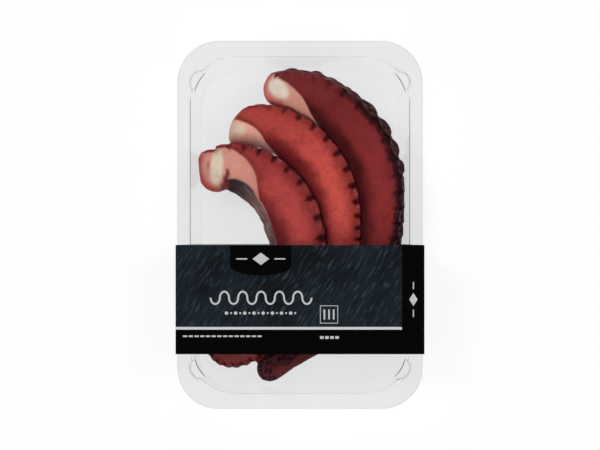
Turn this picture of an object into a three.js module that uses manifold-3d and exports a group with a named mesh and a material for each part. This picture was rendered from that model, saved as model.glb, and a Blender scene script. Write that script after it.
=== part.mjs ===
// A sealed pack of three cooked octopus arms: a clear thermoformed tray, the arms lying in it side by side,
// a clear lidding film on the flange and a printed board sleeve round the lower half.
// Millimetres, +Z up. The origin is under the middle of the tray, on the surface that the pack stands on.
// +Y runs along the tray towards the cut ends of the arms, and the sleeve sits on the -Y half.
import * as THREE from "three";
import { mergeVertices } from "three/addons/utils/BufferGeometryUtils.js";
import Module from "manifold-3d";

const wasm = await Module();
wasm.setup();

// Tray
const trayWidth = 135.6;
const trayLength = 203.2;
const trayTop = 35;
const trayFoot = 0.6; // underside of the standing ring, just above the sleeve's bottom panel
const sheet = 0.5; // thickness of the formed plastic
const cornerRadius = 23; // of the flange's outer edge
const mouthRadius = 24.5; // of the cavity's corners at the flange, less further down as the wall slopes in
const cornerSteps = 7; // straight pieces in each rounded corner
const endInset = 1.21; // the ends slope and step in this much more than the sides
const floorRise = 1.5; // the middle of the floor stands up inside its ring
const panelHalf = 47.5; // half width of that raised middle
const ringHalf = [50, 53.6]; // of the standing ring, from its inner edge to its outer edge
const footHalf = 55.3; // of the cavity just above the rounded foot of the wall
const mouthHalf = 60.2; // of the cavity at the flange
const flangeHalf = 66.6; // of the flat of the flange, before its edge turns down
const lipDrop = 2.6;
const lugMiddle = [54.3, 78.6]; // of the four pockets that keep stacked empty trays apart
const lugRadius = 6;
const lugFoot = 28;

// Film and sleeve
const filmThickness = 0.2;
const filmMargin = 0.9;
const board = 0.5;
const sleeveWidth = 60;
const sleeveCentre = -41;
const sleeveFold = 31.8; // height where the side panel turns in below the flange
const sleeveFootHalf = 56.7;

// Arms
const armSides = 12;
const ringCrowding = 0.6; // how much closer the rings of an arm stand where it is thin
const clearance = 0.3; // between an arm and what it touches
const flatness = 0.84; // height of an arm's section over its width
const suckerPitch = 1.96; // spacing along a row over a sucker's half length, so that their rims just overlap
const suckerWidth = 0.27; // half the width of a sucker over the arm's half width
const highRow = 25; // the upper row lies this many degrees above the middle of the oral side
const lowRowTurn = 21; // suckers of the lower row look this many degrees further down than they sit
const smallestSucker = 1.5;
const smallSucker = 2.6; // with less than this for half its length, a sucker is a plain button
const oralShare = 0.93; // the flesh stops this far out, and the suckers fill the rest

const halfWidth = trayWidth / 2;
const halfLength = trayLength / 2;
const floorTop = trayFoot + floorRise + sheet;
const radians = THREE.MathUtils.degToRad;

function solidFrom(geometry) {
  const bare = geometry.clone();
  bare.deleteAttribute("normal");
  bare.deleteAttribute("uv");
  const merged = mergeVertices(bare, 1e-4);
  return new wasm.Manifold(
    new wasm.Mesh({
      numProp: 3,
      vertProperties: new Float32Array(merged.attributes.position.array),
      triVerts: new Uint32Array(merged.index.array),
    }),
  );
}

// The same, for a closed geometry whose faces may all point in.
function facingOut(geometry) {
  const solid = solidFrom(geometry);
  if (solid.volume() > 0) return solid;
  const index = geometry.index.array;
  for (let i = 0; i < index.length; i += 3) [index[i], index[i + 1]] = [index[i + 1], index[i]];
  return solidFrom(geometry);
}

function geometryFrom(solid) {
  const mesh = solid.getMesh();
  const geometry = new THREE.BufferGeometry();
  geometry.setAttribute("position", new THREE.BufferAttribute(new Float32Array(mesh.vertProperties), 3));
  geometry.setIndex(new THREE.BufferAttribute(new Uint32Array(mesh.triVerts), 1));
  geometry.computeVertexNormals();
  return geometry;
}

function largestBody(solid) {
  const bodies = solid.decompose();
  return bodies.reduce((best, body) => (body.volume() > best.volume() ? body : best));
}

// ---- Tray ----

// The tray's outline at the height where it is half wide each way, counter-clockwise from the +X side.
function outlineAt(half) {
  const length = halfLength - endInset * (halfWidth - half);
  const radius = half > mouthHalf ? cornerRadius : mouthRadius - (mouthHalf - half);
  const points = [];
  for (let corner = 0; corner < 4; corner++) {
    const signX = corner === 0 || corner === 3 ? 1 : -1;
    const signY = corner < 2 ? 1 : -1;
    for (let step = 0; step <= cornerSteps; step++) {
      const angle = ((corner + step / cornerSteps) * Math.PI) / 2;
      const x = signX * (half - radius) + radius * Math.cos(angle);
      const y = signY * (length - radius) + radius * Math.sin(angle);
      points.push(half > 0 ? new THREE.Vector2(x, y) : new THREE.Vector2());
    }
  }
  return points;
}

// A profile of [half width, height] pairs, lathed and then squared up to the tray's rounded rectangles.
function trayLoft(profile) {
  const outlines = profile.map(([half]) => outlineAt(half));
  const points = profile.map(([half, height]) => new THREE.Vector2(half, height));
  const geometry = new THREE.LatheGeometry(points, outlines[0].length);
  const position = geometry.attributes.position;
  for (let i = 0; i < position.count; i++) {
    const level = i % profile.length;
    const spoke = Math.floor(i / profile.length) % outlines[level].length;
    const { x, y } = outlines[level][spoke];
    position.setXYZ(i, x, y, profile[level][1]);
  }
  return facingOut(geometry);
}

// The inside face of the tray, from the middle of the floor to the flange, moved inwards by inset.
function innerProfile(inset) {
  return [
    [0, floorTop + inset],
    [panelHalf - inset, floorTop + inset],
    [ringHalf[0] - inset, trayFoot + sheet + inset],
    [ringHalf[1] - inset, trayFoot + sheet + inset],
    [footHalf - inset, trayFoot + sheet + 1.5 + inset],
    [mouthHalf - inset, trayTop - 0.8],
  ];
}

// Upright posts at the four lugs.
function lugPosts(radius, foot, top) {
  const posts = [];
  for (const x of [-lugMiddle[0], lugMiddle[0]]) {
    for (const y of [-lugMiddle[1], lugMiddle[1]]) {
      const post = new THREE.CylinderGeometry(radius, radius, top - foot, 16);
      post.rotateX(Math.PI / 2);
      post.translate(x, y, (top + foot) / 2);
      posts.push(solidFrom(post));
    }
  }
  return wasm.Manifold.union(posts);
}

function makeTray() {
  const shell = trayLoft([
    ...innerProfile(0),
    [mouthHalf + 0.7, trayTop],
    [flangeHalf, trayTop],
    [halfWidth, trayTop - 1],
    [halfWidth, trayTop - lipDrop],
    [halfWidth - sheet, trayTop - lipDrop],
    [halfWidth - sheet, trayTop - 1.2],
    [flangeHalf - 0.2, trayTop - sheet],
    [mouthHalf + 1, trayTop - sheet],
    [mouthHalf + sheet, trayTop - 1],
    [footHalf + sheet, trayFoot + 1.4],
    [ringHalf[1] + 0.3, trayFoot],
    [ringHalf[0] + 0.2, trayFoot],
    [panelHalf + 0.2, trayFoot + floorRise],
    [0, trayFoot + floorRise],
  ]);
  const inside = trayLoft([...innerProfile(0), [mouthHalf + 0.7, trayTop], [0, trayTop]]);
  const lugs = lugPosts(lugRadius + sheet, lugFoot, trayTop - 0.2).subtract(inside);
  return shell.add(lugs).subtract(lugPosts(lugRadius, lugFoot + sheet, trayTop + 1));
}

function makeCavity() {
  const wall = innerProfile(clearance);
  const topHalf = wall[wall.length - 1][0];
  return trayLoft([...wall, [topHalf, trayTop - clearance], [0, trayTop - clearance]]);
}

// ---- Film and sleeve ----

function makeFilm() {
  const shape = new THREE.Shape(outlineAt(halfWidth - filmMargin));
  const geometry = new THREE.ExtrudeGeometry(shape, { depth: filmThickness, bevelEnabled: false });
  geometry.translate(0, 0, trayTop + 0.05);
  return geometry;
}

function sleeveOutline(inset) {
  const side = halfWidth + 0.2 + board - inset;
  const top = trayTop + filmThickness + 0.1 + board - inset;
  const foot = sleeveFootHalf - inset * 1.4;
  const bevel = 0.4;
  return [
    [foot, inset],
    [side, sleeveFold + inset * 0.2],
    [side, top - bevel],
    [side - bevel, top],
    [-side + bevel, top],
    [-side, top - bevel],
    [-side, sleeveFold + inset * 0.2],
    [-foot, inset],
  ].map(([x, z]) => new THREE.Vector2(x, z));
}

function makeSleeve() {
  const shape = new THREE.Shape(sleeveOutline(0));
  shape.holes.push(new THREE.Path(sleeveOutline(board)));
  const geometry = new THREE.ExtrudeGeometry(shape, { depth: sleeveWidth, bevelEnabled: false });
  geometry.rotateX(Math.PI / 2);
  geometry.translate(0, sleeveCentre + sleeveWidth / 2, 0);
  return geometry;
}

// ---- Arms ----

// Each row of path is [x, y, half width, lift above the floor]. Four lists are each given at the base, middle
// and tip. In degrees, tilt raises the outer side, oral turns the suckers from it, faceUp is how far up the
// upper row looks and lowRow is how far from oral the lower row sits. suckers are rows of a place along the arm
// and half a sucker's length over the half width, and firstSucker is where the upper row begins.
// The web that joined the arms is pared off: how deep over the half width, on which side in degrees up and over
// from the outer one, and from start to end along the arm. cut is the knife's face at the base: a point on it and
// the direction of what is cut away.
const arms = {
  arm_inner: {
    path: [
      [-64, 33, 9.4, 5.6],
      [-51, 30.8, 12.9, 4.6],
      [-37, 31.8, 15.4, 3],
      [-25, 27.6, 17, 2.5],
      [-12.2, 17.2, 17.8, 2],
      [-3.9, 2.8, 17.8, 2],
      [-0.6, -12, 16.6, 2],
      [-4, -35, 14, 2],
      [-14.5, -55, 11.4, 1],
      [-30, -70, 9.6, 1],
      [-42.5, -73.6, 7.6, 1.5],
      [-50.4, -67, 5.4, 2],
      [-52, -57, 3.2, 2],
    ],
    rings: 24,
    tilt: [10, 19, 8],
    oral: [-24, -27, -5],
    faceUp: [2, 6, 20],
    lowRow: [-27, -27, -27],
    firstSucker: 0.07,
    suckers: [
      [0, 0.27],
      [0.25, 0.29],
      [0.42, 0.35],
      [1, 0.3],
    ],
    web: { depth: 0.13, side: 140, start: 0.15, end: 0.46 },
    cut: { point: [-53, 31, 19], away: [-0.69, -0.32, 0.65] },
  },
  arm_middle: {
    path: [
      [-43, 54.2, 8.4, 1.5],
      [-36, 55, 11, 1],
      [-23.5, 56, 13.4, 1],
      [-10.5, 52.6, 14.8, 1],
      [1.6, 45, 15.2, 1],
      [10, 35.6, 15.4, 1],
      [16.2, 24.5, 15.4, 1],
      [20.6, 11, 14.6, 1],
      [22.6, -3, 13.4, 1],
      [22.4, -14, 12.4, 1],
      [20.6, -28, 11, 1],
      [14.5, -43, 8.8, 2],
      [4, -57, 6, 4],
      [-7.5, -68, 3, 5],
    ],
    rings: 24,
    tilt: [12, 20, 10],
    oral: [-20, -27, -10],
    faceUp: [6, 8, 20],
    lowRow: [-27, -27, -27],
    firstSucker: 0.05,
    suckers: [
      [0, 0.3],
      [0.35, 0.35],
      [0.42, 0.325],
      [0.56, 0.245],
      [1, 0.25],
    ],
    web: { depth: 0.17, side: 124, start: 0, end: 0.36 },
    cut: { point: [-39.4, 54.5, 11.5], away: [-0.92, 0.05, 0.38] },
  },
  arm_outer: {
    path: [
      [-24, 75, 9.6, 1],
      [-16.5, 76, 12, 1],
      [-4, 75.5, 14.4, 1],
      [10.6, 71, 16, 1],
      [24, 61.4, 17, 1],
      [35.8, 48.6, 17.4, 1],
      [42.8, 34, 16.8, 1],
      [46.2, 18, 15.8, 1],
      [46.6, 2.5, 14.8, 1],
      [44.6, -13, 13.8, 1],
      [38.5, -32, 12.4, 1],
      [27, -51, 9.8, 2],
      [10.5, -66.5, 6.6, 6],
      [0, -73.4, 5.2, 9],
      [-8.4, -77.8, 4.8, 11],
      [-15.6, -82, 4.4, 12],
      [-20.6, -83.2, 3.9, 12.5],
      [-23.2, -79.6, 3.3, 13],
      [-20.8, -76, 2.7, 13],
      [-16.5, -75.2, 1.8, 13],
    ],
    rings: 36,
    tilt: [8, 31, 12],
    oral: [4, -16, 80],
    faceUp: [10, 42, 75],
    lowRow: [-40, -62, -27],
    firstSucker: 0.03,
    suckers: [
      [0, 0.3],
      [0.12, 0.3],
      [0.26, 0.39],
      [0.37, 0.29],
      [1, 0.28],
    ],
    web: { depth: 0.17, side: 124, start: 0, end: 0.3 },
    cut: { point: [-18.4, 75.8, 11], away: [-0.92, 0.1, 0.38] },
  },
};

// A value given at the base, the middle and the tip, eased between them.
function alongArm([base, middle, tip], t) {
  if (t < 0.45) return THREE.MathUtils.lerp(base, middle, THREE.MathUtils.smoothstep(t, 0, 0.3));
  return THREE.MathUtils.lerp(middle, tip, THREE.MathUtils.smoothstep(t, 0.45, 0.9));
}

// The value at t between the rows of a table of places and values.
function fromTable(rows, t) {
  const next = Math.max(1, rows.findIndex(([place]) => place >= t));
  const [[from, low], [to, high]] = [rows[next - 1], rows[next]];
  return THREE.MathUtils.lerp(low, high, (t - from) / (to - from));
}

// The arm's section at t from 0 at the base to 1 at the tip: its middle, its axes and its half sizes.
function sectionMaker(arm, grow) {
  const rows = arm.path;
  const flat = new THREE.CatmullRomCurve3(rows.map(([x, y]) => new THREE.Vector3(x, y, 0)));
  const sizes = new THREE.CatmullRomCurve3(rows.map(([, , half, lift]) => new THREE.Vector3(half, lift, 0)));
  const length = flat.getLength();
  function section(t) {
    const u = flat.getUtoTmapping(t, t * length);
    const at = flat.getPoint(u);
    const heading = flat.getTangent(u);
    const size = sizes.getPoint(u);
    const out = new THREE.Vector3(-heading.y, heading.x, 0).normalize();
    const tilt = radians(alongArm(arm.tilt, t));
    const half = size.x * oralShare;
    const rise = half * flatness;
    const reach = Math.hypot(half * Math.sin(tilt), rise * Math.cos(tilt));
    at.addScaledVector(out, -(1 - oralShare) * size.x);
    at.z = floorTop + size.y + reach;
    const wide = out.clone().multiplyScalar(Math.cos(tilt)).setZ(Math.sin(tilt));
    const high = out.clone().multiplyScalar(-Math.sin(tilt)).setZ(Math.cos(tilt));
    return { at, out, wide, high, half: half + grow, rise: rise + grow, size: size.x, length };
  }
  return section;
}

function onSection(s, angle) {
  return s.at
    .clone()
    .addScaledVector(s.wide, s.half * Math.cos(angle))
    .addScaledVector(s.high, s.rise * Math.sin(angle));
}

// Where the rings of an arm stand, as shares of its length, closer together where the arm is thin.
function ringPlaces(section, count) {
  const samples = 240;
  const crowd = [0];
  for (let i = 0; i < samples; i++) crowd.push(crowd[i] + section((i + 0.5) / samples).size ** -ringCrowding);
  const places = [];
  let i = 0;
  for (let ring = 0; ring <= count; ring++) {
    const goal = (crowd[samples] * ring) / count;
    while (i < samples - 1 && crowd[i + 1] < goal) i++;
    places.push(Math.min(1, (i + (goal - crowd[i]) / (crowd[i + 1] - crowd[i])) / samples));
  }
  return places;
}

// The flesh: a cylinder whose rings are carried to the arm's sections, drawn in at the tip.
function makeFlesh(arm, section) {
  const geometry = new THREE.CylinderGeometry(1, 1, 1, armSides, arm.rings);
  const places = ringPlaces(section, arm.rings);
  const position = geometry.attributes.position;
  for (let i = 0; i < position.count; i++) {
    const ring = Math.round((position.getY(i) + 0.5) * arm.rings);
    const s = section(places[ring]);
    const ends = ring === arm.rings ? 0.6 : 1;
    const angle = Math.atan2(position.getX(i), position.getZ(i));
    const begun = THREE.MathUtils.smoothstep(places[ring], arm.web.start - 0.03, arm.web.start);
    const pared = arm.web.depth * begun * (1 - THREE.MathUtils.smoothstep(places[ring], 0.08, arm.web.end));
    const facingWeb = Math.max(0, Math.cos(angle - radians(arm.web.side))) ** 2;
    const spoke = Math.hypot(position.getX(i), position.getZ(i)) * ends * (1 - pared * facingWeb);
    const point = s.at
      .clone()
      .addScaledVector(s.wide, spoke * s.half * Math.cos(angle))
      .addScaledVector(s.high, spoke * s.rise * Math.sin(angle));
    position.setXYZ(i, point.x, point.y, point.z);
  }
  return facingOut(geometry);
}

function suckerShape(profile, sides) {
  const points = profile.map(([x, y]) => new THREE.Vector2(x, y));
  return new THREE.LatheGeometry(points, sides);
}

// Suckers of radius 1 that stand along +Y: a stalk that widens to a rim round a shallow cup, and a button.
const cupSucker = suckerShape([[0, -0.7], [0.76, -0.7], [1, 0.42], [0, 0.1]], 6);
const buttonSucker = suckerShape([[0, -0.7], [0.8, -0.7], [1, 0.36], [0, 0.3]], 5);

function makeSuckers(arm, grow) {
  const suckers = [];
  const section = sectionMaker(arm, 0);
  const length = section(0).length;
  for (const low of [true, false]) {
    const turnedAt = (t) => (low ? alongArm(arm.lowRow, t) : highRow);
    const rootAt = (t) => onSection(section(t), radians(alongArm(arm.oral, t) + turnedAt(t)));
    let t = arm.firstSucker * (low ? 0.6 : 1);
    while (t < 0.985) {
      const s = section(t);
      const halfLong = s.size * fromTable(arm.suckers, t);
      const halfWide = Math.min(halfLong, s.size * suckerWidth);
      if (halfLong < smallestSucker) break;
      const up = radians(alongArm(arm.faceUp, t) + (low ? turnedAt(t) - lowRowTurn : 0));
      const facing = s.out.clone().multiplyScalar(Math.cos(up)).setZ(Math.sin(up));
      const heading = new THREE.Vector3(s.out.y, -s.out.x, 0);
      const root = rootAt(t);
      const geometry = (halfLong < smallSucker ? buttonSucker : cupSucker).clone();
      geometry.scale(halfLong + grow, halfWide + grow, halfWide + grow);
      const across = heading.clone().cross(facing);
      const middle = root.clone().addScaledVector(facing, grow * 0.6);
      geometry.applyMatrix4(new THREE.Matrix4().makeBasis(heading, facing, across).setPosition(middle));
      suckers.push(facingOut(geometry));
      // the row is longer than the arm's middle line where it goes round the outside of a bend
      const step = (halfLong * suckerPitch) / length;
      const stretch = rootAt(t + step).distanceTo(root) / (step * length);
      t += step / stretch;
    }
  }
  return suckers;
}

// A box larger than the end of an arm, whose one face lies on the knife's plane.
function knife({ point, away }, grow) {
  const size = 60;
  const direction = new THREE.Vector3(...away).normalize();
  const box = new THREE.BoxGeometry(size, size, size);
  box.applyQuaternion(new THREE.Quaternion().setFromUnitVectors(new THREE.Vector3(0, 0, 1), direction));
  const middle = new THREE.Vector3(...point).addScaledVector(direction, size / 2 + grow);
  box.translate(middle.x, middle.y, middle.z);
  return solidFrom(box);
}

// grow makes the same arm a little larger all over, to press its neighbours clear of it.
function makeArm(arm, grow = 0) {
  const section = sectionMaker(arm, grow);
  let solid = makeFlesh(arm, section);
  solid = solid.subtract(knife(arm.cut, grow));
  for (const sucker of makeSuckers(arm, grow)) solid = solid.add(sucker);
  return solid;
}

// ---- Colours ----

const looks = {
  clear: { color: 0xe9ecec, roughness: 0.12, metalness: 0, transparent: true, opacity: 0.25 },
  film: { color: 0xf4f6f6, roughness: 0.05, metalness: 0, transparent: true, opacity: 0.1 },
  print: { color: 0x14181c, roughness: 0.55, metalness: 0 },
  skin: { color: 0xa03c38, roughness: 0.4, metalness: 0 },
};

function named(name, geometry, look) {
  const mesh = new THREE.Mesh(geometry, new THREE.MeshStandardMaterial(looks[look]));
  mesh.name = name;
  return mesh;
}

// ---- The pack ----

const cavity = makeCavity();
const pack = new THREE.Group();
pack.add(named("tray", geometryFrom(makeTray()), "clear"));
pack.add(named("film", makeFilm(), "film"));
pack.add(named("sleeve", makeSleeve(), "print"));

// The arms lie on each other like roof tiles: each one presses a hollow in those under it.
const pressing = [];
for (const [name, arm] of Object.entries(arms)) {
  let solid = makeArm(arm).intersect(cavity);
  for (const above of pressing) solid = solid.subtract(above);
  solid = largestBody(solid).simplify(0.08);
  pack.add(named(name, geometryFrom(solid), "skin"));
  pressing.push(makeArm(arm, clearance));
}

export default pack;
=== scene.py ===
import math

import bpy
import numpy as np
from mathutils import Matrix, Vector
from mathutils.kdtree import KDTree


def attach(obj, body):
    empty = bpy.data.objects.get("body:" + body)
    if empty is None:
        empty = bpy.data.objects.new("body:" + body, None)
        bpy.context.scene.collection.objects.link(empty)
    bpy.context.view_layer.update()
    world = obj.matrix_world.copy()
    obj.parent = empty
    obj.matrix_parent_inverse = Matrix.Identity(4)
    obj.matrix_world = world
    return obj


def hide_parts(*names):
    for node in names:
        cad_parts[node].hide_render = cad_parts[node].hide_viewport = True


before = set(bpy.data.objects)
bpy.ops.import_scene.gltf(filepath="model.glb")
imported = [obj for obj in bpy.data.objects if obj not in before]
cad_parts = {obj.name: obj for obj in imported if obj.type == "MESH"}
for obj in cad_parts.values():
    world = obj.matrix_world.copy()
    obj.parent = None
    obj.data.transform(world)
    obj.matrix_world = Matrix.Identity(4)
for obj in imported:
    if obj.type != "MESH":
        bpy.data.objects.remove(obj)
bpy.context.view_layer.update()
mm = 0.001
print("frame loaded")


def pick(obj):
    if bpy.context.mode != "OBJECT":
        bpy.ops.object.mode_set(mode="OBJECT")
    bpy.ops.object.select_all(action="DESELECT")
    obj.select_set(True)
    bpy.context.view_layer.objects.active = obj


def applyModifier(obj, kind, **settings):
    pick(obj)
    modifier = obj.modifiers.new(kind.lower(), kind)
    for name, value in settings.items():
        setattr(modifier, name, value)
    bpy.ops.object.modifier_apply(modifier=modifier.name)


def editAll():
    bpy.ops.object.mode_set(mode="EDIT")
    bpy.ops.mesh.select_all(action="SELECT")


def extrude(*shift):
    bpy.ops.mesh.extrude_region_move(TRANSFORM_OT_translate={"value": shift})


def joinPieces(pieces, name):
    pick(pieces[0])
    for piece in pieces:
        piece.select_set(True)
    bpy.ops.object.join()
    joined = bpy.context.object
    joined.name = joined.data.name = name
    return joined


def copyPiece(obj, name):
    copy = obj.copy()
    copy.data = obj.data.copy()
    copy.name = copy.data.name = name
    bpy.context.scene.collection.objects.link(copy)
    return copy


def faceOut(obj):
    pick(obj)
    editAll()
    bpy.ops.mesh.remove_doubles(threshold=0.002 * mm)
    bpy.ops.mesh.normals_make_consistent(inside=False)
    bpy.ops.object.mode_set(mode="OBJECT")


def smoothShade(obj, degrees):
    pick(obj)
    bpy.ops.object.shade_smooth_by_angle(angle=math.radians(degrees))


def softened(points, radius, steps=4, closed=False):
    # the corners of a line of points, each eased into a short curve
    eased = []
    count = len(points)
    for i, corner in enumerate(points):
        if not closed and i in (0, count - 1):
            eased.append(corner)
            continue
        here = Vector(corner)
        before = Vector(points[i - 1]) - here
        after = Vector(points[(i + 1) % count]) - here
        start = here + before.normalized() * min(radius, before.length * 0.45)
        end = here + after.normalized() * min(radius, after.length * 0.45)
        for step in range(steps + 1):
            u = step / steps
            eased.append(tuple(start * (1 - u) ** 2 + here * (2 * u * (1 - u)) + end * u ** 2))
    return eased


def smoothStep(x, low, high):
    t = np.clip((x - low) / (high - low), 0, 1)
    return t * t * (3 - 2 * t)


def fadeOut(x, low, high):
    return 1 - smoothStep(x, low, high)


def settle(piece, node):
    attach(piece, "root")
    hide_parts(node)


def srgb(text):
    # a colour as a maker writes it, such as 842e2d, for a shader
    values = [int(text[i:i + 2], 16) / 255 for i in (0, 2, 4)]
    return tuple(v / 12.92 if v <= 0.04045 else ((v + 0.055) / 1.055) ** 2.4 for v in values) + (1,)


def newGroup(name, inputs, outputs):
    group = bpy.data.node_groups.new(name, "ShaderNodeTree")
    kinds = {"value": "NodeSocketFloat", "colour": "NodeSocketColor", "vector": "NodeSocketVector"}
    for way, sockets in (("INPUT", inputs), ("OUTPUT", outputs)):
        for socketName, kind in sockets.items():
            group.interface.new_socket(socketName, in_out=way, socket_type=kinds[kind])
    return group, group.nodes.new("NodeGroupInput").outputs, group.nodes.new("NodeGroupOutput").inputs


def feed(socket, source):
    # a number, a colour or another node's output
    if hasattr(source, "is_output"):
        socket.id_data.links.new(source, socket)
    else:
        socket.default_value = source


def setInputs(node, **sources):
    for name, source in sources.items():
        feed(node.inputs[name.replace("_", " ")], source)


def mathNode(tree, operation, a, b):
    node = tree.nodes.new("ShaderNodeMath")
    node.operation = operation
    feed(node.inputs[0], a)
    feed(node.inputs[1], b)
    return node.outputs[0]


def mixColour(tree, amount, a, b):
    node = tree.nodes.new("ShaderNodeMix")
    node.data_type = "RGBA"
    feed(node.inputs["Factor"], amount)
    feed(node.inputs[6], a)
    feed(node.inputs[7], b)
    return node.outputs[2]


def spread(tree, value, low, high, newLow=0.0, newHigh=1.0):
    node = tree.nodes.new("ShaderNodeMapRange")
    node.interpolation_type = "SMOOTHSTEP"
    for socket, source in zip(node.inputs[:5], (value, low, high, newLow, newHigh)):
        feed(socket, source)
    return node.outputs[0]


def noiseNode(tree, vector, scale, detail=3.0, roughness=0.5, distortion=0.0):
    node = tree.nodes.new("ShaderNodeTexNoise")
    setInputs(node, Vector=vector, Scale=scale, Detail=detail, Roughness=roughness, Distortion=distortion)
    return node.outputs["Fac"]


def roughen(tree, shader, height, strength, distance):
    bump = tree.nodes.new("ShaderNodeBump")
    setInputs(bump, Height=height, Strength=strength, Distance=distance * mm)
    setInputs(shader, Normal=bump.outputs[0])


def newMaterial(name):
    material = bpy.data.materials.new(name)
    material.use_nodes = True
    tree = material.node_tree
    place = tree.nodes.new("ShaderNodeTexCoord").outputs["Object"]
    return material, tree, tree.nodes["Principled BSDF"], place


view = {
    "height": 700 * mm,      # above the flange
    "flange": 35 * mm,
    "widthSeen": 330 * mm,   # at the flange, across the picture
    "sensor": 36,
}


def makeCamera():
    bpy.ops.object.camera_add(location=(0, 0, view["height"] + view["flange"]))
    camera = bpy.context.object
    camera.name = "camera"
    camera.data.sensor_width = view["sensor"]
    camera.data.lens = view["sensor"] * view["height"] / view["widthSeen"]
    camera.data.clip_start = 0.01
    bpy.context.scene.camera = camera


studio = {
    "lamps": {
        "softLeft": {"at": (-0.7, 0.55, 1.0), "size": 0.4, "power": 3.4},
        "softRight": {"at": (0.75, 0.35, 1.0), "size": 0.35, "power": 1.8},
        "softFront": {"at": (0.05, -0.9, 1.0), "size": 0.35, "power": 1.8},
    },
    "zenith": 0.52,
    "horizon": 0.3,
    "floorSize": 12,
    "floorDrop": 0.2 * mm,
    "floor": (0.22, 0.22, 0.22),
    "floorGlow": 0.83,        # a light table, so that the white ground stays white round the pack
}


def makeStudio():
    for name, lamp in studio["lamps"].items():
        bpy.ops.object.light_add(type="AREA", location=lamp["at"])
        light = bpy.context.object
        light.name = name
        light.data.shape = "DISK"
        light.data.size = lamp["size"]
        light.data.energy = lamp["power"]
        light.rotation_euler = Vector(lamp["at"]).to_track_quat("Z", "Y").to_euler()
    # a sky that is brightest overhead
    world = bpy.data.worlds.new("studioSky")
    world.use_nodes = True
    tree = world.node_tree
    split = tree.nodes.new("ShaderNodeSeparateXYZ")
    setInputs(split, Vector=tree.nodes.new("ShaderNodeTexCoord").outputs["Generated"])
    glow = spread(tree, split.outputs["Z"], 0.45, 0.95, studio["horizon"], studio["zenith"])
    setInputs(tree.nodes["Background"], Color=(1, 1, 1, 1), Strength=glow)
    bpy.context.scene.world = world
    bpy.context.scene.view_settings.view_transform = "Standard"

    bpy.ops.mesh.primitive_plane_add(size=studio["floorSize"], location=(0, 0, -studio["floorDrop"]))
    floor = bpy.context.object
    floor.name = "studioFloor"
    material, _, shader, _ = newMaterial("paleFloor")
    setInputs(shader, Base_Color=(*studio["floor"], 1), Roughness=0.9, Emission_Color=(1, 1, 1, 1),
              Emission_Strength=studio["floorGlow"])
    floor.data.materials.append(material)


makeCamera()
makeStudio()
print("camera and studio made")


# Millimetres and degrees, with places along an arm from 0 at its cut end to 1 at its tip.
# path: x, y, half width and lift above the tray's floor
# tilt raises the outer side, oral turns the suckers from it, faceUp lifts the way the upper row looks and
# lowRow is how far under oral the lower row sits, each at the base, middle and tip
# suckers: half their length over the arm's half width, with none on the bare stretch
# stand: how far they stand out over half their width; outline and crease: how dark the painted shade round
# their feet is, and how far the painted shade in the creases between them reaches
# cutAt and cutAway: a point on the plane of the cut, and the way out of the flesh
# skinEdge: how far round from the outer side the skin reaches, up to skinGap, and seam how dark the painted
# shade along that edge is
# web: the pared side that faces the next arm
# flank: where the side that the knife laid bare starts, the depth, start and end of its hollows, the nick
# above them and the ends of a line of painted shade in that nick
# end, cream and spot: ellipses, seen from above, of the cut end, its cream middle and a rose patch in it
# glow: how far round from the outer side the skin is painted brightest, a painted highlight along its lit top
# look: the colours of each arm; deep is the skin's dark blotches and also painted shade down its sides and
# along the edge of the skin, and edge is painted shade under the arm and round and between the suckers
armInner = {
    "name": "armInner",
    "node": "arm_inner",
    "path": [
        (-64, 33, 9.4, 5.6), (-51, 30.8, 12.9, 4.6), (-37, 31.8, 15.4, 3), (-25, 27.6, 17, 2.5),
        (-12.2, 17.2, 17.8, 2), (-3.9, 2.8, 17.8, 2), (-0.6, -12, 16.6, 2), (-4, -35, 14, 2),
        (-14.5, -55, 11.4, 1), (-30, -70, 9.6, 1), (-42.5, -73.6, 7.6, 1.5), (-50.4, -67, 5.4, 2),
        (-52, -57, 3.2, 2),
    ],
    "tilt": (10, 19, 8),
    "stand": 0.75,
    "outline": 0.25,
    "creaseShade": 2.7,
    "oral": (-24, -27, -5),
    "faceUp": (2, 6, 20),
    "lowRow": (-27, -27, -27),
    "firstSucker": 0.07,
    "bare": (1, 1),
    "suckers": [(0, 0.27), (0.25, 0.29), (0.42, 0.35), (1, 0.3)],
    "cutAt": (-54.8, 30.2, 20.5),
    "cutAway": (-0.69, -0.32, 0.65),
    "skinEdge": [(0.055, -30), (0.09, -2), (0.112, 12), (0.128, 19), (0.153, 37), (0.185, 55), (0.215, 72),
                 (0.246, 95), (0.27, 108), (0.37, 117)],
    "skinGap": 0.35,
    "seamShade": 0.4,
    "web": {"side": 140, "depth": 0.13, "start": 0.15, "end": 0.46},
    "flank": {
        "start": [(0.114, 108), (0.144, 103), (0.193, 99), (0.232, 103), (0.272, 114), (0.35, 118),
                  (0.43, 118), (0.508, 124)],
        "hollows": [(0.2, (0.114, 0.144), (0.2, 0.28)), (0.05, (0.21, 0.28), (0.43, 0.53))],
        "nick": {"at": 0.111, "reach": 0.011, "depth": 0.2},
        "nickShade": ((-40.0, 30.4), (-42.4, 19.4)),
    },
    "cream": {"at": (-46.4, 31.8), "reach": (3.9, 10.5), "turn": -6},
    "spot": {"at": (-51.1, 33.4), "reach": (1.6, 3.6)},
    "end": {"at": (-46.1, 32.0), "reach": (12.6, 13.9), "top": 0.3, "strength": 1.0},
    "glow": 68,
    "seed": 3,
    "look": {"skin": "ad433f", "deep": "651b1e", "edge": "3a070c", "tail": "7c3a35", "creamFlesh": "d2c4b0",
             "pinkFlesh": "c88d7e", "roseFlesh": "a8423b", "suckerBase": "7c2829", "suckerSide": "7c2829",
             "suckerCup": "4c1a1e"},
}
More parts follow.
